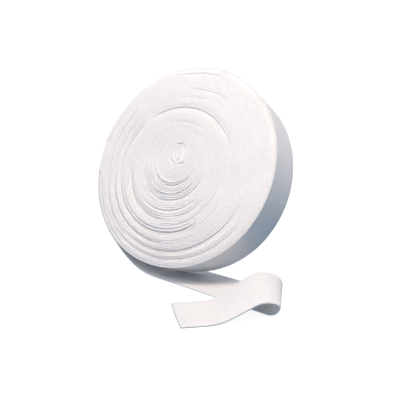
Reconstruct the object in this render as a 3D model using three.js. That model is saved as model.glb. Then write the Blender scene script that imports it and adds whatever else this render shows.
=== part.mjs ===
// Cast stockinette: a knitted cotton tube, pressed flat and wound into a roll that leans back on its rim.
// The loose end leaves the rim low on the left, passes under the roll, loops up and is laid back over itself.
// Millimetres, +Z up. The roll's front face looks towards -Y and it would roll along X.
import * as THREE from 'three';

// Driving sizes
const CLOTH_WIDTH = 50.8;
const ROLL_RADIUS = 106.5;
const LEAN = THREE.MathUtils.degToRad(18);
const PLY_PAIR = 2.0;
const GAP = 0.3;
const TURN_STEP = PLY_PAIR + GAP;

// Roll: where the outer turn ends, its flat spot, its rounded edges and its mesh
const LEAVE_ANGLE = 231;
const STEP_WIDTH = 0.4;
const FLAT_SPOT_DEPTH = 1.4;
const EDGE_ROUNDING = 1.6;
const COLUMNS = 54;
const RIM_LANES = [0.92, 0.7, 0.3, 0, -0.3, -0.7, -0.92];
const RIM_HOLLOW = 0.5;

// How far the hand-wound outline swells past a true circle, by angle around the face from its right
const OUTLINE = [
  { angle: 0, swell: -0.6 },
  { angle: 35, swell: -1.2 },
  { angle: 75, swell: -2.4 },
  { angle: 110, swell: -1.2 },
  { angle: 165, swell: 0.5 },
  { angle: 215, swell: 0.4 },
  { angle: 260, swell: -0.4 },
  { angle: 320, swell: 0.8 },
  { angle: 360, swell: -0.6 },
];

// Groups of turns from the core outwards: the crease that closes each one, and how far the group stands proud
const WOUND_GROUPS = [
  { radius: 7, right: -2, up: 8, narrowing: 0.5, crease: 2.0, proud: 0.6 },
  { radius: 17, right: -2, up: 6.5, narrowing: 0.75, crease: 1.0, proud: 0.2 },
  { radius: 28.5, right: -2, up: 1.5, narrowing: 0.92, crease: 1.3, proud: 0.0 },
  { radius: 39, right: -3, up: -1.5, narrowing: 0.97, crease: 1.2, proud: 0.3 },
  { radius: 52.6, right: -4.5, up: -6.5, narrowing: 1, crease: 2.0, proud: 0.5 },
  { radius: 65.6, right: -5, up: -6.4, narrowing: 1, crease: 2.6, proud: 0.1 },
  { radius: 75.5, right: -3, up: -6, narrowing: 1, crease: 1.1, proud: 0.5 },
  { radius: 85, right: -0.7, up: -5.2, narrowing: 1, crease: 2.0, proud: 0.2 },
  { radius: 92, right: -0.4, up: -3.4, narrowing: 1, crease: 1.2, proud: 0.4 },
  { radius: 98, right: -0.2, up: -1.6, narrowing: 1, crease: 1.0, proud: 0.1 },
];

// Loose end: its line on the floor, measured from the point under the roll's back edge
const RUN_HEADING = THREE.MathUtils.degToRad(-14.42);
const NEAR_EDGE_OFFSET = 34.88;
const FOLD_HEADING = THREE.MathUtils.degToRad(103.2);
const RISE_TURN = 80;
const SHOULDER_TURN = 66.5;
const HALF_TURN = 180;
const STATIONS = 7;
const SECTIONS = { peel: 14, run: 7, rise: 6, shoulder: 4, crown: 6, fall: 3, land: 4, rest: 4 };

// Both edges of the loose end: where each meets the floor, how it leaves the rim, and its loop's lengths and turns
const EDGES = {
  near: {
    landing: -10, rimPull: 60, floorPull: 110, bendStart: 101,
    rise: 15.8, shoulder: 2.6, crown: 15.7, overturn: 26.7, land: 19.1, rest: 15.9,
  },
  far: {
    landing: -30, rimPull: 30, floorPull: 60, bendStart: 97.2,
    rise: 13.0, shoulder: 12.4, crown: 24.2, overturn: 34.3, land: 4.5, rest: 29.7,
  },
};

// Where the upper layer crosses the lower one it rides over that layer's edge on a short ramp
const RIDE_HEIGHT = PLY_PAIR + GAP + 0.4;
const RIDE_RAMP = { start: -15, end: -3 };

// The roll's own directions: along X, up its leaning face, and out of that face
const ALONG = new THREE.Vector3(1, 0, 0);
const UP_FACE = new THREE.Vector3(0, Math.sin(LEAN), Math.cos(LEAN));
const OUT_OF_FACE = new THREE.Vector3(0, -Math.cos(LEAN), Math.sin(LEAN));
const FLAT_SPOT_HEIGHT = PLY_PAIR + GAP;
const ROLL_CENTRE = new THREE.Vector3(0, 0, FLAT_SPOT_HEIGHT - FLAT_SPOT_DEPTH)
  .addScaledVector(UP_FACE, ROLL_RADIUS)
  .addScaledVector(OUT_OF_FACE, CLOTH_WIDTH / 2);

const { lerp, smoothstep, degToRad } = THREE.MathUtils;

function rollPoint(right, up, out) {
  return ROLL_CENTRE.clone()
    .addScaledVector(ALONG, right)
    .addScaledVector(UP_FACE, up)
    .addScaledVector(OUT_OF_FACE, out);
}

function tableValue(table, key, column, at) {
  const next = Math.max(1, table.findIndex((row) => row[key] >= at));
  const low = table[next - 1];
  const high = table[next];
  const share = (at - low[key]) / (high[key] - low[key]);
  return lerp(low[column], high[column], smoothstep(share, 0, 1));
}

// Columns run once round the face from the point where the outer turn leaves
function columnAngle(column) {
  if (column === COLUMNS) return LEAVE_ANGLE + 360 - STEP_WIDTH;
  return LEAVE_ANGLE + (360 * column) / COLUMNS;
}

function outlineRadius(angle) {
  const wound = (angle - LEAVE_ANGLE) / 360;
  const swell = tableValue(OUTLINE, 'angle', 'swell', THREE.MathUtils.euclideanModulo(angle, 360));
  return ROLL_RADIUS - TURN_STEP * (1 - wound) + swell;
}

// A lane is one closed line of points round the roll
function groupLane(row, radius, out) {
  return Array.from({ length: COLUMNS }, (_, column) => {
    const angle = degToRad(columnAngle(column));
    const right = row.right + radius * row.narrowing * Math.cos(angle);
    return rollPoint(right, row.up + radius * Math.sin(angle), out);
  });
}

function outlineLane(inset, out) {
  return Array.from({ length: COLUMNS + 1 }, (_, column) => {
    const angle = columnAngle(column);
    const radius = outlineRadius(angle) - inset;
    const point = rollPoint(radius * Math.cos(degToRad(angle)), radius * Math.sin(degToRad(angle)), out);
    point.z = Math.max(point.z, FLAT_SPOT_HEIGHT);
    return point;
  });
}

function blendRows(inner, outer) {
  const middle = {};
  for (const key of Object.keys(outer)) middle[key] = (inner[key] + outer[key]) / 2;
  return middle;
}

// One face from the core outwards: a ridge in the middle of each group, then its crease
function faceLanes(side) {
  const half = CLOTH_WIDTH / 2;
  const lanes = [];
  WOUND_GROUPS.forEach((row, index) => {
    if (index > 0) {
      const ridge = blendRows(WOUND_GROUPS[index - 1], row);
      lanes.push(groupLane(ridge, ridge.radius, side * (half + row.proud)));
    }
    lanes.push(groupLane(row, row.radius, side * (half - row.crease)));
  });
  lanes.push(outlineLane(TURN_STEP + EDGE_ROUNDING, side * half));
  lanes.push(outlineLane(EDGE_ROUNDING, side * half));
  return lanes;
}

function rimLanes() {
  const half = CLOTH_WIDTH / 2;
  return RIM_LANES.map((share) => outlineLane(RIM_HOLLOW * (1 - share * share), share * half));
}

// Collects points and triangles into one closed geometry
class Surface {
  constructor() {
    this.points = [];
    this.triangles = [];
  }

  add(point) {
    this.points.push(point);
    return this.points.length - 1;
  }

  addAll(points) {
    return points.map((point) => this.add(point));
  }

  triangle(a, b, c) {
    this.triangles.push(a, b, c);
  }

  quad(a, b, c, d) {
    this.triangle(a, b, c);
    this.triangle(a, c, d);
  }

  geometry() {
    const geometry = new THREE.BufferGeometry();
    const positions = this.points.flatMap((point) => point.toArray());
    geometry.setAttribute('position', new THREE.Float32BufferAttribute(positions, 3));
    geometry.setIndex(this.triangles);
    geometry.computeVertexNormals();
    return geometry;
  }
}

// Joins two closed lanes; the longer one has one more point, at the end of the outer turn
function stitch(surface, first, second) {
  const shared = Math.min(first.length, second.length);
  for (let i = 0; i < shared - 1; i += 1) {
    surface.quad(first[i], second[i], second[i + 1], first[i + 1]);
  }
  const last = shared - 1;
  if (second.length > first.length) surface.triangle(first[last], second[last], second[last + 1]);
  if (first.length > second.length) surface.triangle(first[last], second[last], first[last + 1]);
  const firstEnd = first[first.length - 1];
  const secondEnd = second[second.length - 1];
  surface.quad(firstEnd, secondEnd, second[0], first[0]);
}

function buildRoll() {
  const surface = new Surface();
  const lanes = [...faceLanes(1), ...rimLanes(), ...faceLanes(-1).reverse()];
  const indices = lanes.map((lane) => surface.addAll(lane));
  for (let i = 0; i < indices.length - 1; i += 1) stitch(surface, indices[i], indices[i + 1]);
  const core = WOUND_GROUPS[0];
  for (const [side, lane] of [[1, indices[0]], [-1, indices[indices.length - 1]]]) {
    const centre = surface.add(rollPoint(core.right, core.up, side * (CLOTH_WIDTH / 2 + core.proud)));
    for (let i = 0; i < lane.length; i += 1) {
      const next = lane[(i + 1) % lane.length];
      if (side > 0) surface.triangle(centre, lane[i], next);
      else surface.triangle(centre, next, lane[i]);
    }
  }
  return surface.geometry();
}

const RUN_ALONG = new THREE.Vector3(Math.cos(RUN_HEADING), Math.sin(RUN_HEADING), 0);
const RUN_ACROSS = new THREE.Vector3(-Math.sin(RUN_HEADING), Math.cos(RUN_HEADING), 0);
const FOLD_ALONG = new THREE.Vector3(Math.cos(FOLD_HEADING), Math.sin(FOLD_HEADING), 0);
const FOLD_ACROSS = new THREE.Vector3(Math.sin(FOLD_HEADING), -Math.cos(FOLD_HEADING), 0);

function floorPoint(along, across) {
  return new THREE.Vector3(0, 0, PLY_PAIR / 2)
    .addScaledVector(RUN_ALONG, along)
    .addScaledVector(RUN_ACROSS, across - NEAR_EDGE_OFFSET);
}

function edgeSizes(share) {
  const sizes = {};
  for (const key of Object.keys(EDGES.near)) sizes[key] = lerp(EDGES.near[key], EDGES.far[key], share);
  return sizes;
}

// From the rim down to the floor: one curve that leaves along the rim and arrives along the run
function peelLine(sizes, across) {
  const angle = degToRad(LEAVE_ANGLE + STEP_WIDTH);
  const radius = outlineRadius(LEAVE_ANGLE + 360 - STEP_WIDTH) - PLY_PAIR / 2;
  const out = CLOTH_WIDTH / 2 - across;
  const start = rollPoint(radius * Math.cos(angle), radius * Math.sin(angle), out);
  const end = floorPoint(sizes.landing, across);
  const leave = new THREE.Vector3()
    .addScaledVector(ALONG, -Math.sin(angle))
    .addScaledVector(UP_FACE, Math.cos(angle));
  const curve = new THREE.CubicBezierCurve3(
    start,
    start.clone().addScaledVector(leave, sizes.rimPull / 3),
    end.clone().addScaledVector(RUN_ALONG, -sizes.floorPull / 3),
    end,
  );
  return curve.getPoints(SECTIONS.peel);
}

// The loop's side view at one station: distance along the cloth, place across the fold, and height
function loopProfile(sizes) {
  const profile = [{ cloth: sizes.bendStart, place: sizes.bendStart, height: 0 }];
  let slope = 0;
  const bend = (length, turn, steps) => {
    for (let i = 0; i < steps; i += 1) {
      slope += degToRad(turn) / steps / 2;
      const last = profile[profile.length - 1];
      profile.push({
        cloth: last.cloth + length / steps,
        place: last.place + (length / steps) * Math.cos(slope),
        height: last.height + (length / steps) * Math.sin(slope),
      });
      slope += degToRad(turn) / steps / 2;
    }
  };
  bend(sizes.rise, RISE_TURN, SECTIONS.rise);
  bend(sizes.shoulder, SHOULDER_TURN, SECTIONS.shoulder);
  bend(sizes.crown, HALF_TURN - RISE_TURN - SHOULDER_TURN + sizes.overturn, SECTIONS.crown);
  const landingDrop = sizes.land * Math.sin(degToRad(sizes.overturn) / 2);
  const top = profile[profile.length - 1].height;
  bend((top - landingDrop) / Math.sin(degToRad(sizes.overturn)), 0, SECTIONS.fall);
  bend(sizes.land, -sizes.overturn, SECTIONS.land);
  bend(sizes.rest, 0, SECTIONS.rest);
  return profile;
}

function loopLine(sizes, across) {
  const fromEdge = across - NEAR_EDGE_OFFSET;
  const overTop = SECTIONS.rise + SECTIONS.shoulder + SECTIONS.crown;
  return loopProfile(sizes).map(({ cloth, place, height }, index) => {
    const along = (cloth - fromEdge * RUN_ACROSS.dot(FOLD_ACROSS)) / RUN_ALONG.dot(FOLD_ACROSS);
    const alongFold = along * RUN_ALONG.dot(FOLD_ALONG) + fromEdge * RUN_ACROSS.dot(FOLD_ALONG);
    const point = new THREE.Vector3()
      .addScaledVector(FOLD_ALONG, alongFold)
      .addScaledVector(FOLD_ACROSS, place);
    const overLower = point.dot(RUN_ACROSS) + NEAR_EDGE_OFFSET;
    const ride = RIDE_HEIGHT * smoothstep(overLower, RIDE_RAMP.start, RIDE_RAMP.end);
    const lift = index > overTop ? Math.max(height, ride) : height;
    point.z = PLY_PAIR / 2 + lift;
    return point;
  });
}

function runLine(from, to) {
  const points = [];
  for (let i = 1; i < SECTIONS.run; i += 1) points.push(from.clone().lerp(to, i / SECTIONS.run));
  return points;
}

function looseEndLine(station) {
  const share = station / (STATIONS - 1);
  const across = share * CLOTH_WIDTH;
  const sizes = edgeSizes(share);
  const peel = peelLine(sizes, across);
  const loop = loopLine(sizes, across);
  return [...peel, ...runLine(peel[peel.length - 1], loop[0]), ...loop];
}

function surfaceNormal(lines, station, section) {
  const across = lines[Math.min(station + 1, STATIONS - 1)][section].clone()
    .sub(lines[Math.max(station - 1, 0)][section]);
  const line = lines[station];
  const along = line[Math.min(section + 1, line.length - 1)].clone().sub(line[Math.max(section - 1, 0)]);
  return along.cross(across).normalize();
}

function buildLooseEnd() {
  const surface = new Surface();
  const lines = Array.from({ length: STATIONS }, (_, station) => looseEndLine(station));
  const sectionCount = lines[0].length;
  const offsetGrid = (offset) => lines.map((line, station) => surface.addAll(line.map((point, section) => (
    point.clone().addScaledVector(surfaceNormal(lines, station, section), offset)
  ))));
  const top = offsetGrid(PLY_PAIR / 2);
  const bottom = offsetGrid(-PLY_PAIR / 2);
  for (let section = 0; section < sectionCount - 1; section += 1) {
    for (let station = 0; station < STATIONS - 1; station += 1) {
      const [a, b] = [top[station], top[station + 1]];
      const [c, d] = [bottom[station], bottom[station + 1]];
      surface.quad(a[section], a[section + 1], b[section + 1], b[section]);
      surface.quad(c[section], d[section], d[section + 1], c[section + 1]);
    }
    const [nearTop, nearBottom] = [top[0], bottom[0]];
    const [farTop, farBottom] = [top[STATIONS - 1], bottom[STATIONS - 1]];
    surface.quad(nearBottom[section], nearBottom[section + 1], nearTop[section + 1], nearTop[section]);
    surface.quad(farTop[section], farTop[section + 1], farBottom[section + 1], farBottom[section]);
  }
  const end = sectionCount - 1;
  for (let station = 0; station < STATIONS - 1; station += 1) {
    const [a, b] = [top[station], top[station + 1]];
    const [c, d] = [bottom[station], bottom[station + 1]];
    surface.quad(c[0], a[0], b[0], d[0]);
    surface.quad(c[end], d[end], b[end], a[end]);
  }
  return surface.geometry();
}

const clothMaterial = new THREE.MeshStandardMaterial({ color: 0xf1eeee, roughness: 0.95, metalness: 0 });

const roll = new THREE.Mesh(buildRoll(), clothMaterial.clone());
roll.name = 'roll';
const looseEnd = new THREE.Mesh(buildLooseEnd(), clothMaterial.clone());
looseEnd.name = 'loose_end';

// The origin is the centre of the whole part's footprint box, on the floor
const part = new THREE.Group();
part.add(roll, looseEnd);
const box = new THREE.Box3().setFromObject(part);
part.position.set(-(box.min.x + box.max.x) / 2, -(box.min.y + box.max.y) / 2, -box.min.z);

export default part;
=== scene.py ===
"""Cast stockinette: a roll of flat knitted cotton tube that leans back on its rim, with a looped loose end.

Sizes are given in millimetres, and every mesh is turned into metres as it is made.
Angles are given in degrees.
"""
import math

import bpy
import numpy as np
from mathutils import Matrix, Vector


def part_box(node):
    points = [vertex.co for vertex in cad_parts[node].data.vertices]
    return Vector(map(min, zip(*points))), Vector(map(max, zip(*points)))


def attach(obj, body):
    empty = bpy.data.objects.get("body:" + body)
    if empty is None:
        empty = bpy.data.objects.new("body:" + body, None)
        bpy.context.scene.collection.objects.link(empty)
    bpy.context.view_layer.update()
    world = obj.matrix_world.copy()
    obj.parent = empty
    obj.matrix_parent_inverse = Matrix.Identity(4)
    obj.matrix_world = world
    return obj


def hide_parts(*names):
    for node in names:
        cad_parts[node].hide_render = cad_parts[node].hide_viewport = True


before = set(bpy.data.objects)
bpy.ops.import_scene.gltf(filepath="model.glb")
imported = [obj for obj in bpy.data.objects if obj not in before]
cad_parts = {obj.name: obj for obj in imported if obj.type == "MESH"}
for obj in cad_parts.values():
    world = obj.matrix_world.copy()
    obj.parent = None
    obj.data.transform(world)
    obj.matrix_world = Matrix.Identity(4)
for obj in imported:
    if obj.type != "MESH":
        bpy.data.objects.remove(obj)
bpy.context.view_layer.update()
MM = 0.001

# The cloth, and the roll that it is wound into
CLOTH_WIDTH = 50.8
CLOTH_THICKNESS = 2.0
GAP = 0.3
ROLL_RADIUS = 106.5
CORE_RADIUS = 1.7
TURNS = 67
TURN_PITCH = (ROLL_RADIUS - CORE_RADIUS) / TURNS
CORE_TURNS = 0.9
STEPS_PER_TURN = 90
OUTER_BAND_TURNS = 1.12
OUTER_BAND_STEPS = 190
LEAN = math.radians(18)
LEAVE_ANGLE = 231.0

# The flat spot that the roll stands on, over the loose end that passes under it
FLAT_SPOT_DEPTH = 1.4
FLAT_SPOT_HEIGHT = CLOTH_THICKNESS + GAP
FLAT_SPOT_SOFTNESS = 1.2

# How far the hand-wound outline swells past a true circle, by angle around the face from its right,
# and the power of the radius that the swell grows with from the core outwards
OUTLINE = {
    "angle": (0, 35, 75, 110, 165, 215, 260, 320, 360),
    "swell": (-0.6, -1.2, -2.4, -1.2, 0.5, 0.4, -0.4, 0.8, -0.6),
}
SWELL_GROWTH = 3

# Turns from the core outwards: half width and height, how far the middle has wandered,
# and how straight the sides are where a turn is taller than it is wide
WINDING = {
    "radius": (0, 1.7, 4.6, 8, 17, 25, 34, 39, 52.6, 65.6, 75.5, 85, 92, 98, 106.5),
    "wide": (0, 1.5, 5.6, 10.6, 18.6, 25.6, 34, 39, 52.6, 66, 75.8, 85, 92, 98, 106.5),
    "tall": (4.6, 6.0, 8.6, 12.2, 19.4, 25.8, 34.2, 39, 52.6, 65.8, 75.6, 85, 92, 98, 106.5),
    "right": (-0.4, -0.4, 0.4, 0.6, -0.8, -3.4, -4.6, -4.2, -4.8, -6, -4.4, -1.6, -0.6, -0.2, 0),
    "up": (11, 11, 10.5, 9, 6, 2.6, 0.2, -1, -6.5, -6.4, -6, -5.2, -3.4, -1.6, 0),
}
SIDE_STRAIGHTNESS = 2.5

# How slack the turns lie, from 0 to 1, by angle around the face
SLACK = {
    "angle": (0, 60, 110, 150, 190, 240, 290, 330, 360),
    "slack": (0.12, 0.05, 0.12, 0.55, 0.8, 1.0, 0.95, 0.5, 0.12),
}

# How much of that slackness shows in single turns, by the turn's radius
FINE_LINES = {
    "radius": (0, 8, 17, 25, 36, 42, 60, 106.5),
    "share": (0.5, 0.15, 0.1, 0.8, 0.8, 0.5, 0.45, 0.4),
}

# Quick and slow swings of single turns in and out of the face, and the share of them that tight turns keep
SWINGS = (
    {"reach": 0.2, "per_turn": 5, "seed": 3},
    {"reach": 0.8, "per_turn": 1, "seed": 8},
)
TIGHT_SWING = 0.06

# Folded edges of tight and of slack turns: how far they round over, and their share of the turn's pitch,
# and the angles of the points round a fold on each face
EDGE_ROUNDING = {"tight": 0.02, "slack": 0.62}
EDGE_FILL = {"tight": 0.995, "slack": 0.905}
FRONT_FOLD = (90, 54, 18, -18, -54, -90)
BACK_FOLD = (-90, -30, 30, 90)

# Creases between groups of turns: the turn's radius, the angles it shows between, how deep and how wide
CREASES = (
    {"radius": 4.6, "first": 135, "last": 225, "depth": 2.0, "width": 0.8},
    {"radius": 4.4, "first": 315, "last": 405, "depth": 1.8, "width": 0.8},
    {"radius": 6.6, "first": 200, "last": 260, "depth": 2.4, "width": 0.8},
    {"radius": 7.6, "first": 265, "last": 322, "depth": 2.4, "width": 0.8},
    {"radius": 6.2, "first": 40, "last": 130, "depth": 3.2, "width": 0.9},
    {"radius": 26.4, "first": 245, "last": 325, "depth": 1.1, "width": 0.9},
    {"radius": 24.0, "first": 215, "last": 262, "depth": 0.8, "width": 0.8},
    {"radius": 31.5, "first": 190, "last": 300, "depth": 0.8, "width": 0.8},
    {"radius": 36.0, "first": 185, "last": 265, "depth": 1.1, "width": 1.0},
    {"radius": 38.8, "first": 205, "last": 350, "depth": 1.5, "width": 1.1},
    {"radius": 42.2, "first": 200, "last": 265, "depth": 1.1, "width": 0.9},
    {"radius": 46.0, "first": 222, "last": 315, "depth": 1.3, "width": 0.9},
    {"radius": 37.0, "first": 30, "last": 100, "depth": 0.5, "width": 0.8},
    {"radius": 49.0, "first": 45, "last": 105, "depth": 0.8, "width": 0.8},
    {"radius": 52.6, "first": 175, "last": 272, "depth": 3.6, "width": 1.1},
    {"radius": 52.0, "first": 275, "last": 330, "depth": 1.2, "width": 1.2},
    {"radius": 59.5, "first": 265, "last": 355, "depth": 1.2, "width": 0.9},
    {"radius": 65.6, "first": 15, "last": 130, "depth": 1.7, "width": 1.1},
    {"radius": 65.6, "first": 130, "last": 310, "depth": 3.4, "width": 1.1},
    {"radius": 76.5, "first": 130, "last": 275, "depth": 2.8, "width": 1.0},
    {"radius": 77.0, "first": 60, "last": 100, "depth": 0.6, "width": 0.8},
    {"radius": 81.0, "first": 190, "last": 250, "depth": 1.2, "width": 0.9},
    {"radius": 85.0, "first": 225, "last": 345, "depth": 2.8, "width": 1.2},
    {"radius": 85.0, "first": 50, "last": 95, "depth": 0.7, "width": 0.8},
    {"radius": 89.5, "first": 130, "last": 240, "depth": 2.6, "width": 1.0},
    {"radius": 95.0, "first": 205, "last": 335, "depth": 1.4, "width": 1.0},
    {"radius": 99.0, "first": 60, "last": 105, "depth": 0.6, "width": 0.8},
    {"radius": 100.5, "first": 130, "last": 245, "depth": 1.8, "width": 0.9},
)
CREASE_FADE = 20
CREASE_STEEPNESS = 4

# The soft valley round each crease, which comes in between two radii, and the roll's rounded corner
VALLEY_WIDTH = 3.6
VALLEY_STEEPNESS = 2
VALLEY_SHARE = 0.42
VALLEY_START = (10, 40)
CORNER_START = 99
CORNER_DEPTH = 1.7

# The loose end on the floor, measured from the point under the roll's back edge, and its loop's turns
RUN_HEADING = math.radians(-14.42)
NEAR_EDGE_OFFSET = 34.88
FOLD_HEADING = math.radians(103.2)
RISE_TURN = 80
SHOULDER_TURN = 66.5
HALF_TURN = 180

# The loose end's two edges: where each lands, how strongly the rim and the floor lead it there, where its
# loop starts, the lengths of the loop's stretches, and how far the loop turns past a half turn
EDGES = {
    "near": {
        "landing": -10, "rim_pull": 60, "floor_pull": 110, "bend_start": 101,
        "rise": 15.8, "shoulder": 2.6, "crown": 15.7, "overturn": 26.7, "land": 19.1, "rest": 15.9,
    },
    "far": {
        "landing": -30, "rim_pull": 30, "floor_pull": 60, "bend_start": 97.2,
        "rise": 13.0, "shoulder": 12.4, "crown": 24.2, "overturn": 34.3, "land": 4.5, "rest": 29.7,
    },
}

# Steps along each stretch of the loose end
SECTIONS = {
    "peel": 40, "run": 24, "rise": 16, "shoulder": 10,
    "crown": 18, "fall": 12, "land": 10, "rest": 24,
}

# What is laid back rides over the edge of the layer below, up a ramp across the cloth
RIDE_ROOM = 0.4
RIDE_HEIGHT = CLOTH_THICKNESS + GAP + RIDE_ROOM
RIDE_RAMP = (-15, -3)

# Places across the flat tube, between its folded edges and at them, and how wide a fold rounds over as a
# share of the thickness. Past the rim, the thickness grows to the loose cloth's over the plump length
STATIONS = 34
FOLD_POINTS = (0.0, 0.12, 0.35, 0.7, 1.2)
FOLD_SHARE = {"wound": 0.3, "loose": 0.55}
PLUMP_LENGTH = 30

# The slit between the two plies at the cut end
SLIT_HEIGHT = 0.35
SLIT_DEPTH = 8
SLIT_INSET = 0.6

# Rib knit: the pitch of its ribs and of its courses, which are rows of loops, and the shape of a stitch
RIB_PITCH = 1.15
COURSE_PITCH = 0.95
RIB_SQUARENESS = 2.5
LOOP_SHARE = 0.2
LOOP_SLANT = 0.5
STITCH_RELIEF = 0.25
RELIEF_STRENGTH = 0.5

# How unevenly the stitches lie: noise over the cloth, and how far it shifts them
UNEVEN_NOISE = {"scale": 1 / (4 * MM), "detail": 1}
UNEVEN_SHIFT = 2.2

# Tone of the cotton: broad patches, painted shade that makes it greyer down between the ribs than on their
# tops, and small cloudy spots, and how strongly each shows
PATCH_NOISE = {"scale": 28, "detail": 4}
PATCH_SHARE = 0.6
RIB_GROOVE_PAINTED_SHADE = 0.4
SPOT_NOISE = {"scale": 1 / (3 * MM), "detail": 2}
SPOT_STRENGTH = 1.3

# Finish of the cotton. Its glow is the light that comes back from within, from a depth that grows with it
GLOW_DEPTH = 8
COTTON_FINISH = {
    "Roughness": 0.92,
    "Sheen Weight": 0.25,
    "Sheen Roughness": 0.6,
    "Specular IOR Level": 0.2,
    "Subsurface Radius": (1.0, 0.95, 0.9),
}
WOUND_TONES = {"bright": (0.895, 0.865, 0.855), "shade": (0.80, 0.758, 0.748), "glow": 0.2}
# The loose end's tones are the wound cotton's painted about a tenth darker: painted shade that evens out the
# stronger light on its upward-facing top
LOOSE_TONES_PAINTED_DARKER = {"bright": (0.81, 0.788, 0.78), "shade": (0.725, 0.698, 0.69), "glow": 0.35}

# Backdrop: a round floor that sweeps up into a wall
FLOOR_RADII = (300, 1400)
SWEEP_RADIUS = 700
SWEEP_STEPS = 12
WALL_HEIGHT = 1500
BACKDROP_SIDES = 96
FLOOR_FINISH = {
    "Base Color": (0.5, 0.5, 0.5, 1),
    "Roughness": 0.9,
    "Emission Color": (1, 0.98, 0.945, 1),
    "Emission Strength": 0.84,
}

# Lamps: the direction they stand in from the roll's middle, distance and size in metres, and power in watts
LAMPS = (
    {
        "name": "right lamp", "direction": (0.45, -0.37, 0.81), "distance": 0.9, "size": 0.3,
        "power": 7.2, "colour": (1.0, 0.87, 0.765),
    },
    {
        "name": "left lamp", "direction": (-0.25, -0.75, 0.61), "distance": 2.0, "size": 0.5,
        "power": 11.0, "colour": (1.0, 0.89, 0.80),
    },
    {
        "name": "front lamp", "direction": (0.1, -0.97, 0.16), "distance": 1.2, "size": 0.8,
        "power": 1.2, "colour": (0.97, 0.96, 1.0),
    },
    {
        "name": "back lamp", "direction": (-0.6, 0.79, 0.08), "distance": 1.8, "size": 0.6,
        "power": 17.0, "colour": (1.0, 0.92, 0.83),
    },
)
ROOM_COLOUR = (0.57, 0.79, 1.07)
ROOM_STRENGTH = 0.385

# Camera, measured from the point under the roll's back edge
CAMERA_OFFSET = np.array((240.65, -369.37, 128.74))
AIM_OFFSET = np.array((11.2, 11.0, 77.8))
LENS = 38.03
SENSOR_WIDTH = 36
NEAREST_SEEN = 10

# Directions
ALONG = np.array((1.0, 0.0, 0.0))
UP_FACE = np.array((0.0, math.sin(LEAN), math.cos(LEAN)))
OUT_OF_FACE = np.array((0.0, -math.cos(LEAN), math.sin(LEAN)))
UPRIGHT = np.array((0.0, 0.0, 1.0))
ROLL_CENTRE = (
    UPRIGHT * (FLAT_SPOT_HEIGHT - FLAT_SPOT_DEPTH)
    + UP_FACE * ROLL_RADIUS
    + OUT_OF_FACE * CLOTH_WIDTH / 2
)
RUN_ALONG = np.array((math.cos(RUN_HEADING), math.sin(RUN_HEADING), 0.0))
RUN_ACROSS = np.array((-math.sin(RUN_HEADING), math.cos(RUN_HEADING), 0.0))
FOLD_ALONG = np.array((math.cos(FOLD_HEADING), math.sin(FOLD_HEADING), 0.0))
FOLD_ACROSS = np.array((math.sin(FOLD_HEADING), -math.cos(FOLD_HEADING), 0.0))


def between(first, second, share):
    return first + (second - first) * share


def smooth_step(value, low, high):
    share = np.clip((value - low) / (high - low), 0, 1)
    return share * share * (3 - 2 * share)


def wander(length, knots, seed):
    """A smooth random line between -1 and 1, with that many turning points along its length."""
    values = np.random.default_rng(seed).uniform(-1, 1, knots + 2)
    place = np.linspace(0, knots, length)
    index = np.floor(place).astype(int)
    share = smooth_step(place - index, 0, 1)
    return values[index] * (1 - share) + values[index + 1] * share


# Meshes

def add_object(name, mesh):
    mesh.polygons.foreach_set("use_smooth", np.ones(len(mesh.polygons), dtype=bool))
    mesh.update()
    made = bpy.data.objects.new(name, mesh)
    bpy.context.scene.collection.objects.link(made)
    return made


def ring_faces(count, around):
    """Faces of a closed skin over a row of rings, with a flat cap on the first and on the last."""
    first = np.arange(count - 1)[:, None] * around + np.arange(around)[None, :]
    second = np.arange(count - 1)[:, None] * around + (np.arange(around)[None, :] + 1) % around
    quads = np.stack((first, second, second + around, first + around), axis=-1).reshape(-1, 4)
    cap = [(i, i + 1, around - i - 1, (around - i) % around) for i in range(around // 2)]
    cap = [tuple(dict.fromkeys(face)) for face in cap]
    start_cap = [face[::-1] for face in cap if len(face) > 2]
    end_cap = [tuple(corner + (count - 1) * around for corner in face) for face in cap if len(face) > 2]
    return quads.tolist() + start_cap + end_cap


def ring_mesh(name, rings, cloth_map):
    """A closed skin over a row of rings. cloth_map gives each ring point's place on the cloth."""
    mesh = bpy.data.meshes.new(name)
    mesh.from_pydata((rings.reshape(-1, 3) * MM).tolist(), [], ring_faces(*rings.shape[:2]))
    corners = np.zeros(len(mesh.loops), dtype=np.int32)
    mesh.loops.foreach_get("vertex_index", corners)
    flat = cloth_map.reshape(-1, 2)[corners] * MM
    layer = mesh.uv_layers.new(name="cloth")
    layer.data.foreach_set("uv", flat.astype(np.float32).ravel())
    return add_object(name, mesh)


# The roll

def winding_value(column, radius):
    return np.interp(radius, WINDING["radius"], WINDING[column])


def turn_line(radius, angle):
    """Place on the face of the line that a turn follows at that radius and angle."""
    swell = np.interp(np.mod(angle, 360), OUTLINE["angle"], OUTLINE["swell"])
    swell = swell * (radius / ROLL_RADIUS) ** SWELL_GROWTH
    turned = np.radians(angle)
    wide = winding_value("wide", radius) + swell
    tall = winding_value("tall", radius) + swell
    drawn_out = np.tanh(SIDE_STRAIGHTNESS * np.sin(turned)) / math.tanh(SIDE_STRAIGHTNESS)
    right = winding_value("right", radius) + wide * np.cos(turned)
    up = winding_value("up", radius) + wide * np.sin(turned) + (tall - wide) * drawn_out
    return right, up


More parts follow.
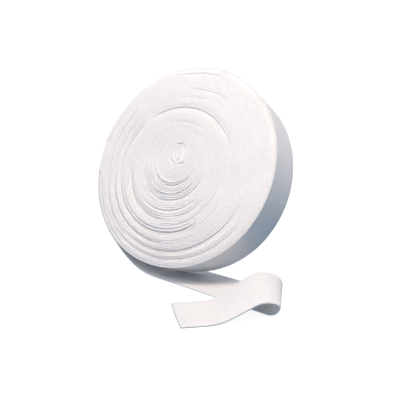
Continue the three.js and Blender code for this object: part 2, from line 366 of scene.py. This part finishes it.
def crease_depth(radius, angle):
    """How far a turn's edge lies below the face: in a narrow crease, in its soft valley, or at the rim."""
    narrow = np.zeros_like(radius)
    valley = np.zeros_like(radius)
    for crease in CREASES:
        past_first = np.mod(angle - crease["first"], 360)
        shows = smooth_step(past_first, 0, CREASE_FADE)
        shows = shows * smooth_step(crease["last"] - crease["first"] - past_first, 0, CREASE_FADE)
        away = np.abs(radius - crease["radius"])
        steep = np.exp(-((away / crease["width"]) ** CREASE_STEEPNESS))
        soft = np.exp(-((away / VALLEY_WIDTH) ** VALLEY_STEEPNESS))
        narrow = np.maximum(narrow, crease["depth"] * shows * steep)
        valley = np.maximum(valley, crease["depth"] * shows * soft)
    corner = np.clip((radius - CORNER_START) / (ROLL_RADIUS - CORNER_START), 0, 1)
    valley = valley * smooth_step(radius, *VALLEY_START)
    return between(narrow, valley, VALLEY_SHARE) + CORNER_DEPTH * corner**2


def turn_swing(turn, slack):
    """How far single turns stand out of the face. The swings are drawn for the whole cloth at once."""
    whole = np.linspace(0, TURNS, TURNS * STEPS_PER_TURN + 1)
    swing = np.zeros_like(whole)
    for row in SWINGS:
        swing += row["reach"] * wander(len(whole), TURNS * row["per_turn"], row["seed"])
    return np.interp(turn, whole, swing) * between(TIGHT_SWING, 1, slack)


def turn_places(turn):
    """What the turns are like along the cloth: inner and outer face lines, slackness and edge places."""
    angle = LEAVE_ANGLE + 360 * (turn - TURNS)
    outer = CORE_RADIUS + TURN_PITCH * turn
    middle = CORE_RADIUS + TURN_PITCH * (turn - 0.5)
    slack = np.interp(np.mod(angle, 360), SLACK["angle"], SLACK["slack"])
    slack = slack * np.interp(outer, FINE_LINES["radius"], FINE_LINES["share"])
    swing = turn_swing(turn, slack)
    return {
        "inner": turn_line(np.maximum(outer - TURN_PITCH, 0), angle),
        "outer": turn_line(outer, angle),
        "slack": slack,
        "front": CLOTH_WIDTH / 2 + swing - crease_depth(middle, angle),
        "back": -CLOTH_WIDTH / 2 + swing + crease_depth(middle, 180 - angle),
    }


def place_on_face(right, up, out):
    right, up, out = (np.asarray(value)[..., None] for value in (right, up, out))
    return ROLL_CENTRE + right * ALONG + up * UP_FACE + out * OUT_OF_FACE


def press_flat(points):
    """Flatten what would sink below the flat spot that the roll stands on."""
    height = points[..., 2] - FLAT_SPOT_HEIGHT
    pressed = FLAT_SPOT_SOFTNESS * np.exp(np.minimum(height / FLAT_SPOT_SOFTNESS - 1, 0))
    points[..., 2] = FLAT_SPOT_HEIGHT + np.where(height < FLAT_SPOT_SOFTNESS, pressed, height)
    return points


def line_lengths(points):
    return np.concatenate(([0], np.cumsum(np.linalg.norm(np.diff(points, axis=0), axis=1))))


def roll_rings():
    """Rings round the flat tube's section, along the spiral from the core to the start of the outer turn."""
    last_turn = TURNS - OUTER_BAND_TURNS
    steps = round((last_turn + CORE_TURNS) * STEPS_PER_TURN)
    places = turn_places(np.linspace(-CORE_TURNS, last_turn, steps + 1))
    rounding = between(EDGE_ROUNDING["tight"], EDGE_ROUNDING["slack"], places["slack"])
    fill = between(EDGE_FILL["tight"], EDGE_FILL["slack"], places["slack"])
    run = line_lengths(place_on_face(*places["outer"], 0))
    fold_length = TURN_PITCH * math.pi / 2
    rings = []
    cloth_map = []
    for folds, edge, side in ((FRONT_FOLD, "front", 1), (BACK_FOLD, "back", -1)):
        for fold in folds:
            turned = math.radians(fold)
            share = 0.5 + 0.5 * math.sin(turned) * fill
            right, up = (between(places["inner"][i], places["outer"][i], share) for i in (0, 1))
            out = places[edge] - side * rounding * (1 - math.cos(turned))
            rings.append(place_on_face(right, up, out))
            across = side * (CLOTH_WIDTH / 2 + fold_length * (90 - fold) / 180)
            cloth_map.append(np.stack((np.full_like(run, across), run), axis=-1))
    return press_flat(np.stack(rings, axis=1)), np.stack(cloth_map, axis=1), run[-1]


# The loose end

def bezier(start, leave, arrive, end, steps):
    share = np.linspace(0, 1, steps + 1)[:, None]
    rest = 1 - share
    return rest**3 * start + 3 * rest**2 * share * leave + 3 * rest * share**2 * arrive + share**3 * end


def outer_turn_lines(across):
    """Middle lines of the outer turn, from under itself to where it leaves the rim."""
    places = turn_places(np.linspace(TURNS - OUTER_BAND_TURNS, TURNS, OUTER_BAND_STEPS + 1))
    right, up = ((places["inner"][i] + places["outer"][i]) / 2 for i in (0, 1))
    share = across[None, :] / CLOTH_WIDTH
    out = places["front"][:, None] * (1 - share) + places["back"][:, None] * share
    return press_flat(place_on_face(right[:, None], up[:, None], out))


def peel_line(start, sizes, across):
    """From the rim down to the floor, at one place across the cloth."""
    angle = math.radians(LEAVE_ANGLE)
    end = (
        UPRIGHT * CLOTH_THICKNESS / 2
        + RUN_ALONG * sizes["landing"]
        + RUN_ACROSS * (across - NEAR_EDGE_OFFSET)
    )
    along_rim = -math.sin(angle) * ALONG + math.cos(angle) * UP_FACE
    leave = start + along_rim * sizes["rim_pull"] / 3
    arrive = end - RUN_ALONG * sizes["floor_pull"] / 3
    return bezier(start, leave, arrive, end, SECTIONS["peel"])


def add_bend(rows, slope, length, turn, steps):
    """Lead a side view on by that length of cloth, turned evenly by that angle. Gives the new slope."""
    for _ in range(steps):
        slope += turn / steps / 2
        cloth, place, height = rows[-1]
        step = length / steps
        rows.append((cloth + step, place + step * math.cos(slope), height + step * math.sin(slope)))
        slope += turn / steps / 2
    return slope


def loop_profile(sizes):
    """The loop's side view: rows of distance along the cloth, place across the fold, and height."""
    overturn = math.radians(sizes["overturn"])
    rise = math.radians(RISE_TURN)
    shoulder = math.radians(SHOULDER_TURN)
    crown = math.radians(HALF_TURN - RISE_TURN - SHOULDER_TURN) + overturn
    rows = [(sizes["bend_start"], sizes["bend_start"], 0.0)]
    slope = add_bend(rows, 0.0, sizes["rise"], rise, SECTIONS["rise"])
    slope = add_bend(rows, slope, sizes["shoulder"], shoulder, SECTIONS["shoulder"])
    slope = add_bend(rows, slope, sizes["crown"], crown, SECTIONS["crown"])
    landing_drop = sizes["land"] * math.sin(overturn / 2)
    fall = (rows[-1][2] - landing_drop) / math.sin(overturn)
    slope = add_bend(rows, slope, fall, 0, SECTIONS["fall"])
    slope = add_bend(rows, slope, sizes["land"], -overturn, SECTIONS["land"])
    add_bend(rows, slope, sizes["rest"], 0, SECTIONS["rest"])
    return np.array(rows)


def loop_line(sizes, across):
    """The loop at one place across the cloth. What is laid back rides over the edge of the layer below."""
    cloth, place, height = loop_profile(sizes).T
    from_edge = across - NEAR_EDGE_OFFSET
    along = (cloth - from_edge * (RUN_ACROSS @ FOLD_ACROSS)) / (RUN_ALONG @ FOLD_ACROSS)
    along_fold = along * (RUN_ALONG @ FOLD_ALONG) + from_edge * (RUN_ACROSS @ FOLD_ALONG)
    points = along_fold[:, None] * FOLD_ALONG + place[:, None] * FOLD_ACROSS
    over_lower = points @ RUN_ACROSS + NEAR_EDGE_OFFSET
    ride = RIDE_HEIGHT * smooth_step(over_lower, *RIDE_RAMP)
    over_top = np.arange(len(cloth)) > SECTIONS["rise"] + SECTIONS["shoulder"] + SECTIONS["crown"]
    points[:, 2] = CLOTH_THICKNESS / 2 + np.where(over_top, np.maximum(height, ride), height)
    return points


def loose_end_line(start, across):
    """From the rim to the cut end, at one place across the cloth."""
    share = across / CLOTH_WIDTH
    sizes = {key: between(near, EDGES["far"][key], share) for key, near in EDGES["near"].items()}
    peel = peel_line(start, sizes, across)
    loop = loop_line(sizes, across)
    run = np.linspace(peel[-1], loop[0], SECTIONS["run"] + 1)[1:-1]
    return np.concatenate((peel, run, loop))


def tube_lines(across):
    """Middle lines of the outer turn and the loose end as one, and the row where the loose end starts."""
    wound = outer_turn_lines(across)
    free = [loose_end_line(wound[-1, index], place) for index, place in enumerate(across)]
    return np.concatenate((wound[:-1], np.stack(free, axis=1))), len(wound) - 1


def rings_around(lines, half):
    """Rings that go over the top of the middle lines and back under them, half the thickness away."""
    return np.concatenate((lines + half, (lines - half)[:, -2:0:-1]), axis=1)


def places_across():
    """Places across the flat tube, close together at its folded edges."""
    edge = np.array(FOLD_POINTS)
    inside = np.linspace(edge[-1], CLOTH_WIDTH - edge[-1], STATIONS)[1:-1]
    return np.concatenate((edge, inside, CLOTH_WIDTH - edge[::-1]))


def slit_lines(lines, sideways, across, from_edge):
    """The middle lines drawn in a little from the folded edges, for the slit between the plies."""
    inset = np.clip(from_edge, SLIT_INSET, None) - from_edge
    shift = np.where(across < CLOTH_WIDTH / 2, inset, -inset)
    return lines + sideways * shift[None, :, None]


def loose_end_rings():
    """Rings round the flat tube: the outer turn, then the loose end to its cut, and back inside the tube."""
    across = places_across()
    from_edge = np.minimum(across, CLOTH_WIDTH - across)
    lines, leaves_at = tube_lines(across)
    run = line_lengths(lines[:, len(across) // 2])
    sideways = np.gradient(lines, across, axis=1)
    normal = np.cross(np.gradient(lines, axis=0), sideways)
    normal /= np.linalg.norm(normal, axis=2, keepdims=True)

    loose = smooth_step(run - run[leaves_at], 0, PLUMP_LENGTH)
    thickness = between(TURN_PITCH, CLOTH_THICKNESS, loose)[:, None]
    fold_share = between(FOLD_SHARE["wound"], FOLD_SHARE["loose"], loose)[:, None]
    rounding = np.sqrt(1 - (1 - np.clip(from_edge / (thickness * fold_share), 0, 1)) ** 2)
    outer = rings_around(lines, normal * (rounding * thickness / 2)[..., None])

    back = np.searchsorted(run[-1] - run[::-1], SLIT_DEPTH)
    inner = slit_lines(lines, sideways, across, from_edge)[-back:][::-1]
    slit_half = rounding[-1][None, :, None] * SLIT_HEIGHT / 2
    slit = rings_around(inner, normal[-back:][::-1] * slit_half)

    place_across = np.concatenate((across, 2 * CLOTH_WIDTH - across[-2:0:-1]))
    place_along = np.concatenate((run, run[-back:][::-1]))
    cloth_map = np.stack(np.broadcast_arrays(place_across[None, :], place_along[:, None]), axis=-1)
    return np.concatenate((outer, slit)), cloth_map, run[-1], leaves_at


# Materials

def node(tree, kind, **settings):
    made = tree.nodes.new(kind)
    for key, value in settings.items():
        setattr(made, key, value)
    return made


def calculate(tree, operation, first, second=None):
    """A sum on one or two sockets or numbers. Gives the socket that holds the result."""
    made = node(tree, "ShaderNodeMath", operation=operation)
    for socket, value in zip(made.inputs, (first, second)):
        if hasattr(value, "is_output"):
            tree.links.new(value, socket)
        elif value is not None:
            socket.default_value = value
    return made.outputs[0]


def noise(tree, vector, scale, detail):
    made = node(tree, "ShaderNodeTexNoise")
    made.inputs["Scale"].default_value = scale
    made.inputs["Detail"].default_value = detail
    tree.links.new(vector, made.inputs["Vector"])
    return made.outputs


def new_group(name, inputs, result):
    """A node group with those named inputs and that one output. Gives it with the sockets to link."""
    tree = bpy.data.node_groups.new(name, "ShaderNodeTree")
    for socket, kind in inputs:
        tree.interface.new_socket(socket, in_out="INPUT", socket_type=kind)
    tree.interface.new_socket(result[0], in_out="OUTPUT", socket_type=result[1])
    return tree, node(tree, "NodeGroupInput").outputs, node(tree, "NodeGroupOutput").inputs[result[0]]


def uneven_cloth(tree, cloth):
    """The place on the cloth, shifted a little one way and another, so that no two stitches lie alike."""
    centred = node(tree, "ShaderNodeVectorMath", operation="SUBTRACT")
    centred.inputs[1].default_value = (0.5, 0.5, 0.5)
    shift = node(tree, "ShaderNodeVectorMath", operation="SCALE")
    shift.inputs["Scale"].default_value = UNEVEN_SHIFT * MM
    moved = node(tree, "ShaderNodeVectorMath", operation="ADD")
    tree.links.new(noise(tree, cloth, **UNEVEN_NOISE)["Color"], centred.inputs[0])
    tree.links.new(centred.outputs[0], shift.inputs[0])
    tree.links.new(cloth, moved.inputs[0])
    tree.links.new(shift.outputs[0], moved.inputs[1])
    return moved.outputs[0]


def rib_knit_group():
    """Rib knit: the height of the stitches on the cloth, from 0 between two ribs to 1 on top of a loop."""
    inputs = (("Cloth", "NodeSocketVector"), ("Ribs", "NodeSocketFloat"), ("Courses", "NodeSocketFloat"))
    tree, given, height = new_group("rib knit", inputs, ("Height", "NodeSocketFloat"))
    split = node(tree, "ShaderNodeSeparateXYZ")
    tree.links.new(uneven_cloth(tree, given["Cloth"]), split.inputs[0])
    ribs = calculate(tree, "MULTIPLY", split.outputs["X"], given["Ribs"])
    courses = calculate(tree, "MULTIPLY", split.outputs["Y"], given["Courses"])
    in_rib = calculate(tree, "SUBTRACT", calculate(tree, "FRACT", ribs), 0.5)
    from_middle = calculate(tree, "MULTIPLY", calculate(tree, "ABSOLUTE", in_rib), 2.0)
    slanted = calculate(tree, "ADD", courses, calculate(tree, "MULTIPLY", from_middle, LOOP_SLANT))
    wave = calculate(tree, "COSINE", calculate(tree, "MULTIPLY", slanted, 2 * math.pi))
    loop = calculate(tree, "ADD", calculate(tree, "MULTIPLY", wave, LOOP_SHARE), 1 - LOOP_SHARE)
    crown = calculate(tree, "SUBTRACT", 1.0, calculate(tree, "POWER", from_middle, RIB_SQUARENESS))
    tree.links.new(calculate(tree, "MULTIPLY", crown, loop), height)
    return tree


def cotton_tone_group():
    """Soft patches and small spots of two near whites, with painted shade that makes it a little greyer down
    between the ribs.
    """
    inputs = (
        ("Bright", "NodeSocketColor"), ("Shade", "NodeSocketColor"), ("Stitch Height", "NodeSocketFloat"),
    )
    tree, given, colour = new_group("cotton tone", inputs, ("Color", "NodeSocketColor"))
    place = node(tree, "ShaderNodeTexCoord").outputs["Object"]
    patches = calculate(tree, "MULTIPLY", noise(tree, place, **PATCH_NOISE)["Fac"], PATCH_SHARE)
    # Painted shade: the colour goes greyer down between the ribs, where the stitches' own shade falls
    painted_rib_groove_shade = calculate(tree, "MULTIPLY", given["Stitch Height"], RIB_GROOVE_PAINTED_SHADE)
    spots = calculate(tree, "SUBTRACT", noise(tree, place, **SPOT_NOISE)["Fac"], 0.5)
    spots = calculate(tree, "MULTIPLY", spots, SPOT_STRENGTH)
    share = calculate(tree, "ADD", calculate(tree, "ADD", patches, painted_rib_groove_shade), spots)
    mix = node(tree, "ShaderNodeMix", data_type="RGBA")
    tree.links.new(share, mix.inputs["Factor"])
    tree.links.new(given["Shade"], mix.inputs["A"])
    tree.links.new(given["Bright"], mix.inputs["B"])
    tree.links.new(mix.outputs["Result"], colour)
    return tree


def knitted_cotton(name, groups, tones):
    material = bpy.data.materials.new(name)
    material.use_nodes = True
    tree = material.node_tree
    tree.nodes.clear()
    cloth = node(tree, "ShaderNodeUVMap", uv_map="cloth")
    knit = node(tree, "ShaderNodeGroup", node_tree=groups["knit"])
    knit.inputs["Ribs"].default_value = 1 / (RIB_PITCH * MM)
    knit.inputs["Courses"].default_value = 1 / (COURSE_PITCH * MM)
    tone = node(tree, "ShaderNodeGroup", node_tree=groups["tone"])
    tone.inputs["Bright"].default_value = (*tones["bright"], 1)
    tone.inputs["Shade"].default_value = (*tones["shade"], 1)
    bump = node(tree, "ShaderNodeBump")
    bump.inputs["Strength"].default_value = RELIEF_STRENGTH
    bump.inputs["Distance"].default_value = STITCH_RELIEF * MM
    shader = node(tree, "ShaderNodeBsdfPrincipled")
    for socket, value in COTTON_FINISH.items():
        shader.inputs[socket].default_value = value
    shader.inputs["Subsurface Weight"].default_value = tones["glow"]
    shader.inputs["Subsurface Scale"].default_value = GLOW_DEPTH * tones["glow"] * MM
    output = node(tree, "ShaderNodeOutputMaterial")
    tree.links.new(cloth.outputs[0], knit.inputs["Cloth"])
    tree.links.new(knit.outputs["Height"], tone.inputs["Stitch Height"])
    tree.links.new(knit.outputs["Height"], bump.inputs["Height"])
    tree.links.new(tone.outputs["Color"], shader.inputs["Base Color"])
    tree.links.new(bump.outputs["Normal"], shader.inputs["Normal"])
    tree.links.new(shader.outputs[0], output.inputs["Surface"])
    return material


# Surroundings

def backdrop_mesh():
    """Rings from the floor's middle outwards and up the wall, closed by a fan in the middle."""
    profile = [(radius, 0) for radius in FLOOR_RADII]
    for angle in np.radians(np.linspace(0, 90, SWEEP_STEPS + 1))[1:]:
        out = FLOOR_RADII[-1] + SWEEP_RADIUS * math.sin(angle)
        profile.append((out, SWEEP_RADIUS * (1 - math.cos(angle))))
    profile.append((FLOOR_RADII[-1] + SWEEP_RADIUS, WALL_HEIGHT))
    turned = np.radians(np.arange(BACKDROP_SIDES) * 360 / BACKDROP_SIDES)
    points = [(r * math.cos(a) * MM, r * math.sin(a) * MM, z * MM) for r, z in profile for a in turned]
    centre = len(points)
    faces = [(i, (i + 1) % BACKDROP_SIDES, centre) for i in range(BACKDROP_SIDES)]
    for ring in range(len(profile) - 1):
        for i in range(BACKDROP_SIDES):
            here = ring * BACKDROP_SIDES + i
            beside = ring * BACKDROP_SIDES + (i + 1) % BACKDROP_SIDES
            faces.append((here, here + BACKDROP_SIDES, beside + BACKDROP_SIDES, beside))
    mesh = bpy.data.meshes.new("backdrop")
    mesh.from_pydata(points + [(0, 0, 0)], [], faces)
    return mesh


def add_backdrop():
    """A pale round floor that sweeps up into a wall far from the object."""
    floor = add_object("backdrop", backdrop_mesh())
    paint = bpy.data.materials.new("pale floor")
    paint.use_nodes = True
    shader = paint.node_tree.nodes["Principled BSDF"]
    for socket, value in FLOOR_FINISH.items():
        shader.inputs[socket].default_value = value
    floor.data.materials.append(paint)
    floor.visible_diffuse = False


def add_lamp(aim, name, direction, distance, size, power, colour):
    """A round soft lamp that shines at a point from that direction."""
    data = bpy.data.lights.new(name, "AREA")
    data.shape = "DISK"
    data.size = size
    data.energy = power
    data.color = colour
    lamp = bpy.data.objects.new(name, data)
    towards = Vector(direction).normalized()
    lamp.location = Vector(aim) + towards * distance
    lamp.rotation_euler = towards.to_track_quat("Z", "Y").to_euler()
    bpy.context.scene.collection.objects.link(lamp)


def add_camera(place, aim):
    data = bpy.data.cameras.new("camera")
    data.lens = LENS
    data.sensor_width = SENSOR_WIDTH
    data.clip_start = NEAREST_SEEN * MM
    camera = bpy.data.objects.new("camera", data)
    camera.location = place
    camera.rotation_euler = (Vector(aim) - Vector(place)).to_track_quat("-Z", "Y").to_euler()
    bpy.context.scene.collection.objects.link(camera)
    bpy.context.scene.camera = camera


def set_world():
    world = bpy.data.worlds.new("soft room")
    world.use_nodes = True
    background = world.node_tree.nodes["Background"]
    background.inputs["Color"].default_value = (*ROOM_COLOUR, 1)
    background.inputs["Strength"].default_value = ROOM_STRENGTH
    bpy.context.scene.world = world


# Making it. The loose end's corner goes where the frame has it, and all the rest follows

end_rings, end_map, end_length, leaves_at = loose_end_rings()
box_corner = np.array(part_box("loose_end")[0]) / MM
own_corner = end_rings[leaves_at:].min(axis=(0, 1))
UNDER_BACK_EDGE = np.array((box_corner[0] - own_corner[0], box_corner[1] - own_corner[1], 0))

groups = {"knit": rib_knit_group(), "tone": cotton_tone_group()}
wound_cotton = knitted_cotton("wound cotton", groups, WOUND_TONES)
# The loose end's cotton is painted darker, as painted shade for the stronger light its top gets
loose_cotton_painted_darker = knitted_cotton("loose cotton painted darker", groups, LOOSE_TONES_PAINTED_DARKER)

wound_rings, wound_map, wound_length = roll_rings()
roll = ring_mesh("wound_roll", wound_rings + UNDER_BACK_EDGE, wound_map)
roll.data.materials.append(wound_cotton)
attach(roll, "root")
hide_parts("roll")

loose_end = ring_mesh("outer_turn_and_loose_end", end_rings + UNDER_BACK_EDGE, end_map)
loose_end.data.materials.append(loose_cotton_painted_darker)
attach(loose_end, "root")
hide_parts("loose_end", "roll")

add_backdrop()
add_camera((UNDER_BACK_EDGE + CAMERA_OFFSET) * MM, (UNDER_BACK_EDGE + AIM_OFFSET) * MM)
for lamp_row in LAMPS:
    add_lamp((UNDER_BACK_EDGE + ROLL_CENTRE) * MM, **lamp_row)
set_world()
bpy.context.scene.view_settings.view_transform = "Standard"
